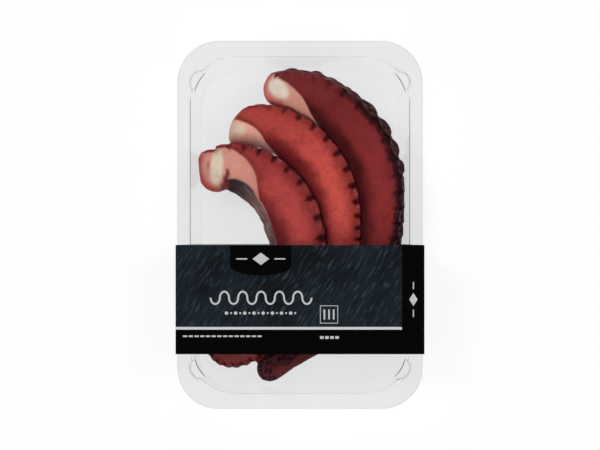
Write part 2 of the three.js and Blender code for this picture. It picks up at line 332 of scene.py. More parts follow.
armMiddle = {
    "name": "armMiddle",
    "node": "arm_middle",
    "path": [
        (-43, 54.2, 8.4, 1.5), (-36, 55, 11, 1), (-23.5, 56, 13.4, 1), (-10.5, 52.6, 14.8, 1),
        (1.6, 45, 15.2, 1), (10, 35.6, 15.4, 1), (16.2, 24.5, 15.4, 1), (20.6, 11, 14.6, 1),
        (22.6, -3, 13.4, 1), (22.4, -14, 12.4, 1), (20.6, -28, 11, 1), (14.5, -43, 8.8, 2),
        (4, -57, 6.4, 4), (-7.5, -67, 4.6, 7), (-16, -72, 4.2, 9), (-22.5, -75.2, 3.8, 9), (-28, -77, 2.4, 8),
    ],
    "tilt": (12, 20, 10),
    "stand": 0.7,
    "outline": 0.25,
    "creaseShade": 2.7,
    "oral": (-20, -27, -10),
    "faceUp": (6, 8, 20),
    "lowRow": (-27, -27, -27),
    "firstSucker": 0.044,
    "bare": (1, 1),
    "suckers": [(0, 0.3), (0.31, 0.35), (0.373, 0.325), (0.5, 0.245), (1, 0.25)],
    "cutAt": (-40.7, 54.5, 12.1),
    "cutAway": (-0.92, 0.05, 0.38),
    "skinEdge": [(0.0, 38), (0.03, 42), (0.061, 63), (0.089, 82), (0.112, 100), (0.134, 124), (0.163, 140),
                 (0.194, 151)],
    "skinGap": 0.204,
    "seamShade": 0.6,
    "web": {"side": 124, "depth": 0.17, "start": 0, "end": 0.32},
    "flank": None,
    "cream": {"at": (-36.5, 53.6), "reach": (6, 4.5), "turn": 0},
    "spot": None,
    "end": {"at": (-22, 50), "reach": (18.8, 18.2), "top": 0.3, "strength": 0.3},
    "glow": 68,
    "seed": 8,
    "look": {"skin": "c24d44", "deep": "6a1b1d", "edge": "3a070c", "tail": "682426", "creamFlesh": "d8c4ae",
             "pinkFlesh": "e0a192", "roseFlesh": "b2614f", "suckerBase": "842c2d", "suckerSide": "842c2d",
             "suckerCup": "4a1b20"},
}
armOuter = {
    "name": "armOuter",
    "node": "arm_outer",
    "path": [
        (-24, 75, 9.6, 1), (-16.5, 76, 12, 1), (-4, 75.5, 14.4, 1), (10.6, 71, 16, 1),
        (24, 61.4, 17, 1), (35.8, 48.6, 17.4, 1), (42.8, 34, 16.8, 1), (46.2, 18, 15.8, 1),
        (46.6, 2.5, 14.8, 1), (44.6, -13, 13.8, 1), (38.5, -32, 12.4, 1), (27, -51, 9.8, 2),
        (10.5, -66.5, 6.6, 6), (0, -73.4, 5.4, 9), (-8, -78.4, 5, 11), (-14.2, -83, 4.8, 12),
        (-18.6, -84.2, 4.5, 12.5), (-21, -80.4, 4.1, 13), (-18.6, -76.4, 3.7, 13), (-13, -74, 3.5, 12.5),
        (-6.5, -70.4, 2.4, 11.5),
    ],
    "tilt": (8, 31, 12),
    "stand": 0.9,
    "outline": 1.0,
    "creaseShade": 2.0,
    "oral": (4, -16, 80),
    "faceUp": (10, 33, 75),
    "lowRow": (-40, -51, -27),
    "firstSucker": 0.048,
    "bare": (0.72, 0.885),
    "suckers": [(0, 0.3), (0.116, 0.3), (0.252, 0.39), (0.358, 0.29), (1, 0.28)],
    "cutAt": (-19.9, 75.8, 11.6),
    "cutAway": (-0.92, 0.1, 0.38),
    "skinEdge": [(0.0, 60), (0.026, 53), (0.044, 47), (0.059, 55), (0.077, 69), (0.103, 88), (0.134, 117),
                 (0.168, 134), (0.217, 151)],
    "skinGap": 0.194,
    "seamShade": 0.1,
    "web": {"side": 124, "depth": 0.17, "start": 0, "end": 0.29},
    "flank": None,
    "cream": {"at": (-12.2, 76.4), "reach": (7.6, 4.4), "turn": -44},
    "spot": None,
    "end": {"at": (-11.5, 77.5), "reach": (9.8, 10.5), "top": 1.5, "strength": 0.95},
    "glow": 66,
    "seed": 5,
    "look": {"skin": "84292a", "deep": "430f12", "edge": "200206", "tail": "50201f", "creamFlesh": "d8cfc0",
             "pinkFlesh": "c8917f", "roseFlesh": "c05a50", "suckerBase": "6b2022", "suckerSide": "240509",
             "suckerCup": "432024"},
}
flesh = {
    "floor": 2.6,            # top of the tray's raised floor
    "flatness": 0.84,        # height of a section over its width
    "oralShare": 0.93,       # the flesh stops this far out, and the suckers fill the rest
    "rings": 160,
    "sides": 48,
    "voxel": 0.56,
    "swells": 16,            # waves that make a section uneven
    "swell": 0.005,          # height of a wave over the section's radius
    "skin": 0.05,            # thickness of the skin over the same
    "gap": 0.25,             # between an arm and what it touches
    "block": 60,             # size of the blocks that cut the arms' ends
    "midHeight": 15,
    "wrinkle": 5,
    "wrinkleDepth": 0.5,
    "bareTones": {"shade": "33262a", "light": "6f4c4a", "streak": "b9a49c", "nickShade": "6a1f24"},
    # fleck: the colour of the painted glints on the suckers
    "glint": "b48f8d",
}
suckerRow = {
    "pitch": 1.96,           # over a sucker's half length, so that their rims just overlap
    "highRow": 25,           # the upper row lies this many degrees above oral
    "width": 0.27,           # half the width of a sucker over the arm's half width
    "smallest": 0.55,
    "droop": 0.2,            # how far its ends hang towards the next suckers
    # (radius, height) of a sucker of radius 1 on +Z: up the stalk, over the rim and down into the cup
    "shape": [
        (1.1, -0.85), (1.05, -0.45), (0.98, -0.15), (0.94, 0.08), (0.98, 0.24), (1.03, 0.36), (1.0, 0.48),
        (0.88, 0.53), (0.76, 0.46), (0.62, 0.3), (0.45, 0.22), (0.3, 0.2), (0.2, 0.06), (0.1, 0.0),
    ],
}
masks = ("along", "around", "sucker", "cup", "suckerShade", "flesh", "cream", "rose", "seamShade", "flank", "nickShade")


def throughPoints(rows, count):
    # a smooth line through the rows, evenly stepped along its length on the flat
    p = np.array(rows, float)
    p = np.vstack([2 * p[0] - p[1], p, 2 * p[-1] - p[-2]])
    line = []
    for i in range(1, len(p) - 2):
        gaps = [max(np.linalg.norm(p[j + 1, :2] - p[j, :2]) ** 0.5, 1e-6) for j in (i - 1, i, i + 1)]
        start = (p[i] - p[i - 1]) / gaps[0] - (p[i + 1] - p[i - 1]) / (gaps[0] + gaps[1])
        start = (start + (p[i + 1] - p[i]) / gaps[1]) * gaps[1]
        end = (p[i + 1] - p[i]) / gaps[1] - (p[i + 2] - p[i]) / (gaps[1] + gaps[2])
        end = (end + (p[i + 2] - p[i + 1]) / gaps[2]) * gaps[1]
        u = np.linspace(0, 1, 60, endpoint=i == len(p) - 3)[:, None]
        line.append((2 * u ** 3 - 3 * u ** 2 + 1) * p[i] + (u ** 3 - 2 * u ** 2 + u) * start
                    + (-2 * u ** 3 + 3 * u ** 2) * p[i + 1] + (u ** 3 - u ** 2) * end)
    line = np.vstack(line)
    steps = np.linalg.norm(np.diff(line[:, :2], axis=0), axis=1)
    travelled = np.concatenate([[0], np.cumsum(steps)])
    even = np.linspace(0, travelled[-1], count)
    return np.stack([np.interp(even, travelled, line[:, k]) for k in range(4)], 1), travelled[-1]


def alongArm(three, t):
    early = three[0] + (three[1] - three[0]) * smoothStep(t, 0, 0.3)
    late = three[1] + (three[2] - three[1]) * smoothStep(t, 0.45, 0.9)
    return np.where(t < 0.45, early, late)


def fromTable(rows, t):
    table = np.array(rows)
    return np.interp(t, table[:, 0], table[:, 1])


def sectionsOf(arm, count):
    # middle, axes and half sizes of the arm's sections, as in the CAD arm
    rows, length = throughPoints(arm["path"], count)
    t = np.linspace(0, 1, count)
    heading = np.gradient(rows[:, :2], axis=0)
    heading /= np.linalg.norm(heading, axis=1)[:, None]
    out = np.stack([-heading[:, 1], heading[:, 0], np.zeros(count)], 1)
    tilt = np.radians(alongArm(arm["tilt"], t))
    half = rows[:, 2] * flesh["oralShare"]
    rise = half * flesh["flatness"]
    at = np.zeros((count, 3))
    at[:, :2] = rows[:, :2] - out[:, :2] * ((1 - flesh["oralShare"]) * rows[:, 2])[:, None]
    at[:, 2] = flesh["floor"] + rows[:, 3] + np.hypot(half * np.sin(tilt), rise * np.cos(tilt))
    wide = out * np.cos(tilt)[:, None]
    wide[:, 2] = np.sin(tilt)
    high = -out * np.sin(tilt)[:, None]
    high[:, 2] = np.cos(tilt)
    return {"t": t, "at": at, "wide": wide, "high": high, "out": out, "half": half, "rise": rise,
            "size": rows[:, 2], "length": length}


def sectionAt(s, t):
    i = t * (len(s["t"]) - 1)
    low = min(int(i), len(s["t"]) - 2)
    u = i - low
    return {key: s[key][low] * (1 - u) + s[key][low + 1] * u
            for key in ("at", "wide", "high", "out", "half", "rise", "size")}


def spokeOf(arm, t, degrees):
    # the radius of a section over a plain ellipse, with what the knife and the cooking took away
    pattern = np.random.default_rng(arm["seed"])
    swell = 0 * (t + degrees)
    for _ in range(flesh["swells"]):
        turns = pattern.integers(1, 4)
        waves = pattern.uniform(3, 30)
        shift = pattern.uniform(0, 6.28)
        swell = swell + np.cos(turns * np.radians(degrees) + waves * t * 6 + shift) * pattern.uniform(0.2, 1)
    web = arm["web"]
    pared = smoothStep(t, web["start"] - 0.03, web["start"]) * fadeOut(t, 0.08, web["end"])
    facingWeb = np.maximum(0, np.cos(np.radians(degrees - web["side"]))) ** 2
    spoke = (1 + flesh["swell"] * swell) * (1 - web["depth"] * pared * facingWeb)
    edge = fromTable(arm["skinEdge"], t)
    step = smoothStep(degrees, edge - 3, edge + 14) * fadeOut(degrees, 170, 210)
    spoke = spoke - flesh["skin"] * step * fadeOut(t, arm["skinGap"] - 0.06, arm["skinGap"] + 0.06)
    flank = arm["flank"]
    if flank:
        start = fromTable(flank["start"], t)
        cave = smoothStep(degrees, start - 4, start + 12) * fadeOut(degrees, start + 22, start + 60)
        for depth, begin, end in flank["hollows"]:
            spoke = spoke - depth * cave * smoothStep(t, *begin) * fadeOut(t, *end)
        nick = flank["nick"]
        dent = np.exp(-((t - nick["at"]) / nick["reach"]) ** 2) * smoothStep(degrees, 84, 108)
        spoke = spoke - nick["depth"] * dent * fadeOut(degrees, 180, 220)
    return spoke


def makeTube(arm, s):
    # a grid wrapped round the arm's sections
    rings, sides = flesh["rings"], flesh["sides"]
    bpy.ops.mesh.primitive_grid_add(x_subdivisions=sides, y_subdivisions=rings - 1, size=1)
    tube = bpy.context.object
    tube.name = tube.data.name = arm["name"]
    angle = np.linspace(0, 2 * np.pi, sides + 1)[None, :]
    t = s["t"][:, None]
    spoke = spokeOf(arm, t, np.degrees(angle))[:, :, None]
    at, wide, high = (s[key][:, None, :] for key in ("at", "wide", "high"))
    half, rise = (s[key][:, None, None].copy() for key in ("half", "rise"))
    rounded = np.sqrt(np.linspace(1, 0.02, 7))[:, None, None]
    half[-7:] *= rounded
    rise[-7:] *= rounded
    angle = angle[:, :, None]
    points = at + wide * half * spoke * np.cos(angle) + high * rise * spoke * np.sin(angle)
    tube.data.vertices.foreach_set("co", (points * mm).astype(np.float32).ravel())
    pick(tube)
    editAll()
    bpy.ops.mesh.remove_doubles(threshold=0.01 * mm)
    bpy.ops.mesh.select_all(action="DESELECT")
    bpy.ops.mesh.select_non_manifold()
    bpy.ops.mesh.fill_holes(sides=0)
    faceOut(tube)
    return tube


def makeSucker():
    profile = suckerRow["shape"]
    radius, height = profile[0]
    bpy.ops.mesh.primitive_circle_add(vertices=20, radius=radius * mm, fill_type="NGON",
                                      location=(0, 0, height * mm))
    sucker = bpy.context.object
    bpy.ops.object.transform_apply(location=True, rotation=False, scale=False)
    editAll()
    for (r0, h0), (r1, h1) in zip(profile, profile[1:]):
        extrude(0, 0, (h1 - h0) * mm)
        bpy.ops.transform.resize(value=(r1 / r0, r1 / r0, 1), center_override=(0, 0, h1 * mm))
    bpy.ops.object.mode_set(mode="OBJECT")
    for vertex in sucker.data.vertices:
        vertex.co.z -= suckerRow["droop"] * vertex.co.x ** 2 / mm
    faceOut(sucker)
    sucker.name = "suckerMaster"
    return sucker


def rootOn(arm, s, row, t, shift=0.0):
    here = sectionAt(s, t)
    oral = float(alongArm(arm["oral"], np.array(t)))
    turned = float(alongArm(arm["lowRow"], np.array(t))) if row < 0 else suckerRow["highRow"]
    angle = math.radians(oral + turned + shift)
    spoke = float(spokeOf(arm, np.array(t), np.array(math.degrees(angle))))
    root = (here["at"] + here["wide"] * here["half"] * spoke * math.cos(angle)
            + here["high"] * here["rise"] * spoke * math.sin(angle))
    return here, turned, root


def suckerPlaces(arm, s):
    # root, facing, half length and half width of each sucker: the lower row looks down, the upper one out
    places = []
    shake = np.random.default_rng(arm["seed"] + 40)
    for row in (-1, 1):
        t = arm["firstSucker"] * (1.3 if row < 0 else 1)
        while t < 0.985:
            here, turned, root = rootOn(arm, s, row, t, shake.uniform(-3, 3))
            halfLong = here["size"] * float(fromTable(arm["suckers"], t))
            halfWide = min(halfLong, here["size"] * suckerRow["width"])
            if halfLong < suckerRow["smallest"]:
                break
            if arm["bare"][0] < t < arm["bare"][1]:
                t = arm["bare"][1]
            up = float(alongArm(arm["faceUp"], np.array(t)))
            up = math.radians(up if row > 0 else up + turned - 21)
            facing = here["out"] * math.cos(up) + np.array((0, 0, math.sin(up)))
            facing += shake.uniform(-0.09, 0.09, 3)
            facing /= np.linalg.norm(facing)
            heading = np.cross(facing, np.cross((here["out"][1], -here["out"][0], 0), facing))
            heading /= np.linalg.norm(heading)
            places.append({"row": row, "root": root, "facing": facing, "heading": heading,
                           "across": np.cross(facing, heading),
                           "halfLong": halfLong * shake.uniform(0.95, 1.02),
                           "halfWide": halfWide * shake.uniform(0.94, 1.04)})
            # a row is longer than the arm's middle line where it goes round the outside of a bend
            step = halfLong * suckerRow["pitch"] / s["length"]
            ahead = rootOn(arm, s, row, min(t + step, 1))[2]
            t += step * step * s["length"] / np.linalg.norm(ahead - rootOn(arm, s, row, t)[2])
    return places


def addSuckers(arm, obj, places, master):
    # every second sucker of a row at a time, so that no two in a batch touch
    for row, start in ((-1, 0), (-1, 1), (1, 0), (1, 1)):
        batch = []
        for place in [p for p in places if p["row"] == row][start::2]:
            sucker = copyPiece(master, "sucker")
            turn = Matrix([place["heading"], place["across"], place["facing"]]).transposed().to_4x4()
            long, wide = place["halfLong"], place["halfWide"]
            size = Matrix.Diagonal((long, wide, wide * arm["stand"], 1))
            sucker.data.transform(Matrix.Translation(Vector(place["root"]) * mm) @ turn @ size)
            batch.append(sucker)
        cutBy(obj, joinPieces(batch, "suckers"), "UNION")


def makeBlock(name, place):
    bpy.ops.mesh.primitive_cube_add(size=flesh["block"] * mm)
    block = bpy.context.object
    block.name = name
    block.data.transform(place)
    return block


def makeKnife(arm):
    # a block whose one face lies on the plane of the cut
    away = Vector(arm["cutAway"]).normalized()
    turn = away.to_track_quat("Z", "Y").to_matrix().to_4x4()
    middle = Vector(arm["cutAt"]) + away * flesh["block"] / 2
    return makeBlock("knife", Matrix.Translation(middle * mm) @ turn)


def makeTrimmer(arm):
    # what lies outside the rounded outline of the cut end, seen from above
    middle = Vector((*arm["end"]["at"], flesh["midHeight"]))
    leftwards = Vector((-flesh["block"] / 2, 0, 0))
    trimmer = makeBlock("trimmer", Matrix.Translation((middle + leftwards) * mm))
    bpy.ops.mesh.primitive_cylinder_add(vertices=64, radius=mm, depth=1.5 * flesh["block"] * mm)
    rounded = bpy.context.object
    reach = Matrix.Diagonal((*arm["end"]["reach"], 1, 1))
    rounded.data.transform(Matrix.Translation(middle * mm) @ reach)
    cutBy(trimmer, rounded, "DIFFERENCE")
    return trimmer


def cutBy(obj, cutter, operation, keep=False):
    applyModifier(obj, "BOOLEAN", object=cutter, operation=operation, solver="MANIFOLD")
    if not keep:
        bpy.data.objects.remove(cutter)


def nearestOf(points, targets):
    tree = KDTree(len(targets))
    for i, target in enumerate(targets):
        tree.insert(target, i)
    tree.balance()
    return np.array([tree.find(p)[1] for p in points])


def vertexVectors(obj, name):
    values = np.zeros(len(obj.data.vertices) * 3, np.float32)
    obj.data.vertices.foreach_get(name, values)
    return values.reshape(-1, 3).astype(float)


def aroundArm(s, points):
    # each point's place along the arm, and its way round it in degrees from the outer side
    nearest = nearestOf(points, s["at"])
    offset = points - s["at"][nearest]
    across = (offset * s["wide"][nearest]).sum(1) / s["half"][nearest]
    upward = (offset * s["high"][nearest]).sum(1) / s["rise"][nearest]
    degrees = np.degrees(np.arctan2(upward, across)) % 360
    degrees[degrees > 270] -= 360
    ahead = np.cross(s["wide"][nearest], s["high"][nearest])
    return s["t"][nearest] + (offset * ahead).sum(1) / s["length"], degrees


def depthInCut(arm, points, t):
    # how far each point lies past the plane of the cut, less than 0 on the arm's own side
    away = np.array(arm["cutAway"]) / np.linalg.norm(arm["cutAway"])
    return np.where(t < 0.25, (points - np.array(arm["cutAt"])) @ away, -99), away


def softenCut(arm, s, obj):
    # the knife's edges, rounded as flesh gives way
    points = vertexVectors(obj, "co") / mm
    t, degrees = aroundArm(s, points)
    soft = fadeOut(t, 0.17, 0.25) * smoothStep(degrees, 20, 45)
    soft = np.maximum(soft, smoothStep(depthInCut(arm, points, t)[0], -5, -3))
    group = obj.vertex_groups.new(name="cutEnd")
    for index in np.nonzero(soft > 0.05)[0]:
        group.add([int(index)], float(soft[index]), "REPLACE")
    applyModifier(obj, "SMOOTH", factor=0.5, iterations=90, vertex_group="cutEnd")


def evenSkin(arm, s, obj):
    applyModifier(obj, "REMESH", mode="VOXEL", voxel_size=flesh["voxel"] * mm)
    softenCut(arm, s, obj)
    applyModifier(obj, "SMOOTH", factor=0.5, iterations=2)
    wrinkles = bpy.data.textures.new("wrinkles", "CLOUDS")
    wrinkles.noise_scale = flesh["wrinkle"] * mm
    wrinkles.noise_depth = 2
    applyModifier(obj, "DISPLACE", texture=wrinkles, texture_coords="LOCAL",
                  strength=flesh["wrinkleDepth"] * mm, mid_level=0.6)


def suckerMasks(arm, places, points, t, depth):
    roots, facings, headings, sides = (np.array([p[key] for p in places])
                                       for key in ("root", "facing", "heading", "across"))
    longs, wides = (np.array([p[key] for p in places]) for key in ("halfLong", "halfWide"))
    own = nearestOf(points, roots + facings * wides[:, None] * 0.4)
    reach = points - roots[own]
    stand = (reach * facings[own]).sum(1) / wides[own] / arm["stand"]
    beside = (reach * headings[own]).sum(1) / longs[own]
    apart = np.hypot(beside, (reach * sides[own]).sum(1) / wides[own])
    sucker = fadeOut(apart, 1.08, 1.2) * smoothStep(stand, -0.35, -0.1) * fadeOut(depth, -2, -1)
    cup = fadeOut(apart, 0.78, 0.92) * smoothStep(stand, 0.1, 0.25)
    cup = np.maximum(cup, smoothStep(stand, 0.3, 0.44))
    # painted shade round the foot of each sucker, and in the creases between two of them
    far = np.hypot(apart, stand)
    ring = smoothStep(apart, 0.92, 1.04) * fadeOut(far, 1.08, 1.24) * fadeOut(stand, 0.3, 0.45)
    creaseShade = smoothStep(np.abs(beside) + 0.5 * fadeOut(far, 1.0, 2.6), 0.98, 1.34)
    creaseShade *= fadeOut(far, 0.67 * arm["creaseShade"], arm["creaseShade"]) * smoothStep(t, 0.05, 0.2)
    return sucker, cup, np.maximum(creaseShade, ring * smoothStep(t, 0.1, 0.22) * arm["outline"])


def fleshMasks(arm, normals, t, degrees, depth, away):
    # cut flesh shows on the face of the cut and past the edge of the skin, and painted shade darkens the skin
    # along that edge
    edge = fromTable(arm["skinEdge"], t)
    pastEdge = smoothStep(degrees, edge - 3, edge + 3)
    skinTop = smoothStep(degrees, 0, 14) * (1 - pastEdge) * fadeOut(normals @ away, 0.82, 0.96)
    face = smoothStep(depth, -3.4, -2.4) * (1 - skinTop)
    pale = pastEdge * fadeOut(degrees, 200, 240) * fadeOut(t, arm["skinGap"] - 0.03, arm["skinGap"] + 0.03)
    seamShade = fadeOut(edge - degrees, 3, 26) * fadeOut(t, arm["skinGap"] - 0.1, arm["skinGap"])
    return np.maximum(face, pale), seamShade * arm["seamShade"]


def flankMasks(arm, points, normals, t, degrees):
    if not arm["flank"]:
        return np.zeros(len(points)), np.zeros(len(points))
    start = fromTable(arm["flank"]["start"], t)
    flank = smoothStep(degrees, start - 3, start + 4) * smoothStep(t, 0.106, 0.126) * fadeOut(t, 0.6, 0.8)
    # a line of painted shade in the nick
    top, foot = np.array(arm["flank"]["nickShade"])
    share = np.clip(((points[:, :2] - top) @ (foot - top)) / ((foot - top) @ (foot - top)), 0, 1)
    nickShade = np.linalg.norm(points[:, :2] - top - share[:, None] * (foot - top), axis=1)
    nickShade = nickShade + 0.3 * np.sin(points[:, 0] * 1.4 + points[:, 1])
    nickShade = fadeOut(nickShade, 0.2 + 1.0 * share, 1.6 + 2.4 * share) * smoothStep(normals[:, 2], -0.3, 0.1)
    return flank, nickShade


def endMasks(arm, points, t):
    # the cut end is rose along its rim, and cream in the middle
    end, cream, spot = arm["end"], arm["cream"], arm["spot"]
    offset = (points[:, :2] - np.array(end["at"])) / np.array(end["reach"])
    rose = smoothStep(np.hypot(*offset.T), 0.56, 0.88) * end["strength"] * fadeOut(t, 0.07, 0.12)
    rose *= fadeOut(offset[:, 0], 0, 0.4) * fadeOut(offset[:, 1], end["top"], end["top"] + 0.6)
    if spot:
        offset = (points[:, :2] - np.array(spot["at"])) / spot["reach"]
        rose = np.maximum(rose, 0.55 * fadeOut(np.hypot(*offset.T), 0.3, 1.0))
    turn = math.radians(cream["turn"])
    offset = points[:, :2] - np.array(cream["at"])
    along = (offset[:, 0] * math.cos(turn) + offset[:, 1] * math.sin(turn)) / cream["reach"][0]
    aside = (offset[:, 1] * math.cos(turn) - offset[:, 0] * math.sin(turn)) / cream["reach"][1]
    return fadeOut(np.hypot(along, aside), 0.6, 1.25), rose


def paintArm(arm, s, places, obj):
    # the masks that its colours follow
    points = vertexVectors(obj, "co") / mm
    normals = vertexVectors(obj, "normal")
    t, degrees = aroundArm(s, points)
    depth, away = depthInCut(arm, points, t)
    sucker, cup, suckerShade = suckerMasks(arm, places, points, t, depth)
    fleshy, seamShade = fleshMasks(arm, normals, t, degrees, depth, away)
    cream, rose = endMasks(arm, points, t)
    flank, nickShade = flankMasks(arm, points, normals, t, degrees)
    values = (t, degrees / 360, sucker, cup, suckerShade, fleshy, cream, rose, seamShade, flank, nickShade)
    for mask, value in zip(masks, values):
        attribute = obj.data.attributes.new(mask, "FLOAT", "POINT")
        attribute.data.foreach_set("value", np.ascontiguousarray(value, np.float32))
    print(arm["name"], "has", len(obj.data.polygons), "faces")


tray = {
    "halfWidth": 67.8,
    "halfLength": 101.6,
    "endInset": 1.21,        # the ends slope in this much more than the sides
    "corner": 23,            # of the flange
    "mouth": 60.2,
    "mouthCorner": 24.5,     # at the mouth, less further down
    "smallestCorner": 3,
    "cornerSteps": 22,
    "lug": (54.3, 78.6),     # middle of each pocket that keeps stacked trays apart
    # half width, height and the lugs' radius there, up the inside and round the lip, then down the outside
    "inside": [
        (46.4, 2.65, 0), (48.0, 2.6, 0), (50.1, 1.1, 0), (54.3, 1.1, 0), (55.6, 3.2, 0), (59.25, 28.0, 0),
        (59.35, 28.6, 5.7), (60.3, 34.0, 6), (61.3, 34.75, 6.9), (63.4, 34.75, 0), (64.2, 34.5, 0),
        (65.3, 34.5, 0), (65.9, 34.95, 0), (67.1, 34.95, 0), (67.75, 34.3, 0), (67.75, 32.4, 0),
    ],
    "outside": [
        (67.3, 32.4, 0), (67.3, 34.15, 0), (66.95, 34.5, 0), (66.1, 34.5, 0), (65.5, 34.05, 0),
        (64.0, 34.05, 0), (63.3, 34.3, 0), (61.5, 34.3, 7.35), (60.75, 33.9, 6.45), (59.8, 28.2, 6.15),
        (59.7, 27.55, 0), (56.05, 3.1, 0), (54.6, 0.65, 0), (49.9, 0.65, 0), (47.8, 2.15, 0), (46.4, 2.2, 0),
    ],
    "ease": 0.5,             # radius of the bends in those lines
    # half width and height of the room inside, for trimming what presses against its wall
    "cavity": [(0, 2.75), (47.2, 2.75), (49.8, 1.35), (53.4, 1.35), (55.0, 2.9), (60.0, 34.15), (60.0, 34.6),
               (0, 34.6)],
    "look": {"tint": (0.81, 0.813, 0.816, 1), "roughness": 0.1, "index": 1.07},
}
film = {
    # half width and height, with a slight sag
    "levels": [(66.9, 35.05), (64, 35.06), (61, 35.05), (58, 34.98), (50, 34.85), (38, 34.78), (25, 34.74),
               (0, 34.72)],
    "thickness": 0.08,
    "look": {"tint": (0.995, 0.995, 0.995, 1), "roughness": 0.03, "index": 1.08},
}


def outlineAt(half, lug):
    # the rounded rectangle that is half wide each way, with its corners let out into lugs
    length = tray["halfLength"] - tray["endInset"] * (tray["halfWidth"] - half)
    radius = max(tray["smallestCorner"], tray["mouthCorner"] - (tray["mouth"] - half))
    if half > tray["mouth"] + 0.5:
        radius = tray["corner"]
    points = []
    for corner in range(4):
        signX = 1 if corner in (0, 3) else -1
        signY = 1 if corner < 2 else -1
        middle = Vector((signX * (half - radius), signY * (length - radius)))
        pocket = Vector((signX * tray["lug"][0], signY * tray["lug"][1]))
        for step in range(tray["cornerSteps"] + 1):
            angle = (corner + step / tray["cornerSteps"]) * math.pi / 2
            outward = Vector((math.cos(angle), math.sin(angle)))
            point = middle + outward * radius
            away = point - pocket
            if away.length < lug:
                lean = away.dot(outward)
                point += outward * (math.sqrt(lean ** 2 - away.length_squared + lug ** 2) - lean)
            points.append(tuple(point) if half > 1 else (0, 0))
    return points


def loft(name, levels):
    # a grid wrapped round the tray's outline at each half width, height and lug radius
    rings = [outlineAt(half, lug) for half, height, lug in levels]
    around = len(rings[0])
    bpy.ops.mesh.primitive_grid_add(x_subdivisions=around, y_subdivisions=len(levels) - 1, size=1)
    obj = bpy.context.object
    obj.name = obj.data.name = name
    points = [(*ring[i % around], height) for ring, (half, height, lug) in zip(rings, levels)
              for i in range(around + 1)]
    obj.data.vertices.foreach_set("co", (np.array(points) * mm).astype(np.float32).ravel())
    editAll()
    bpy.ops.mesh.remove_doubles(threshold=0.001 * mm)
    bpy.ops.object.mode_set(mode="OBJECT")
    return obj


def clearPlastic(name, look):
    # glass that lets the lamps through, so what is inside stays lit
    material, tree, shader, place = newMaterial(name)
    setInputs(shader, Base_Color=look["tint"], Roughness=look["roughness"], IOR=look["index"],
              Transmission_Weight=1.0)
    roughen(tree, shader, noiseNode(tree, place, 60, 2), 0.25, 0.2)
    gap = tree.nodes.new("ShaderNodeBsdfTransparent")
    rays = tree.nodes.new("ShaderNodeLightPath")
    mix = tree.nodes.new("ShaderNodeMixShader")
    for socket, source in zip(mix.inputs, (rays.outputs["Is Shadow Ray"], shader.outputs[0], gap.outputs[0])):
        feed(socket, source)
    setInputs(tree.nodes["Material Output"], Surface=mix.outputs[0])
    return material


def makeTray():
    inside = softened(tray["inside"], tray["ease"], 3)
    outside = softened(tray["outside"], tray["ease"], 3)
    obj = loft("trayShell", [(0, inside[0][1], 0), *inside, *outside, (0, outside[-1][1], 0)])
    faceOut(obj)
    smoothShade(obj, 50)
    applyModifier(obj, "WEIGHTED_NORMAL", keep_sharp=True)
    obj.data.materials.append(clearPlastic("clearTray", tray["look"]))
    settle(obj, "tray")
    print("tray made")


def makeFilm():
    obj = loft("lidFilm", [(*level, 0) for level in film["levels"]])
    applyModifier(obj, "SOLIDIFY", thickness=film["thickness"] * mm, offset=0.0)
    faceOut(obj)
    smoothShade(obj, 50)
    obj.data.materials.append(clearPlastic("clearFilm", film["look"]))
    settle(obj, "film")
    print("film made")


sleeve = {
    "front": -11.0,
    "back": -71.0,
    "outline": [(68.45, 31.8), (68.45, 35.74), (-68.45, 35.74), (-68.45, 31.8), (-56.65, 0.02),
                (56.65, 0.02)],
    "board": 0.42,
    "slateEnd": 56.0,
    "line": (-56.0, -57.5),
    "looks": {"slate": "1f282f", "slateLight": "56626b", "slateDark": "10171d", "silver": "e8ebed",
              "ink": "000000", "pale": "dcdedf", "board": "cfcac0"},
}
emblem = {
    "tab": {"left": -38.3, "right": -4.7, "sides": -22.3, "foot": -27.7},
    "lozenge": {"at": (-21.5, -18.6), "reach": (4.6, 3.4), "rule": (7.5, 13.5)},
    "wave": {"left": -49.1, "count": 11, "pitch": 5.04, "y": -40.0, "rise": 3.4, "line": 1.0},
    "dots": {"left": -40.4, "count": 16, "pitch": 2.52, "y": -48.4, "sizes": (0.95, 0.55)},
    "box": {"left": 11, "right": 20.9, "top": -44.2, "foot": -54.1, "line": 0.35,
            "bars": (13.4, 15.95, 18.5)},
    # left end, height up the board, count, pitch, length and thickness
    "dashes": [(-64.3, -61.1, 14, 3.15, 2.3, 0.9), (11, -61.8, 4, 2.8, 2.0, 1.5)],
    "strip": {"at": (62.3, -40.9), "reach": (2.3, 3.6), "rule": (5.6, 9.6)},
    "rise": (35.72, 35.755, 35.775),
}


def inkShape(corners, lower, upper, index):
    # a flat printed shape, as a thin plate on the board
    bpy.ops.mesh.primitive_circle_add(vertices=len(corners), radius=mm, fill_type="NGON")
    shape = bpy.context.object
    for vertex, (x, y) in zip(shape.data.vertices, corners):
        vertex.co = (x * mm, y * mm, lower * mm)
    editAll()
    extrude(0, 0, (upper - lower) * mm)
    bpy.ops.mesh.select_all(action="SELECT")
    bpy.ops.mesh.normals_make_consistent(inside=False)
    bpy.ops.object.mode_set(mode="OBJECT")
    for polygon in shape.data.polygons:
        polygon.material_index = index
    return shape


def bar(left, right, foot, top):
    return [(left, foot), (right, foot), (right, top), (left, top)]


def arcPoints(middle, reach, start, end, count):
    angles = [math.radians(start + (end - start) * i / (count - 1)) for i in range(count)]
    return [(middle[0] + reach[0] * math.cos(a), middle[1] + reach[1] * math.sin(a)) for a in angles]


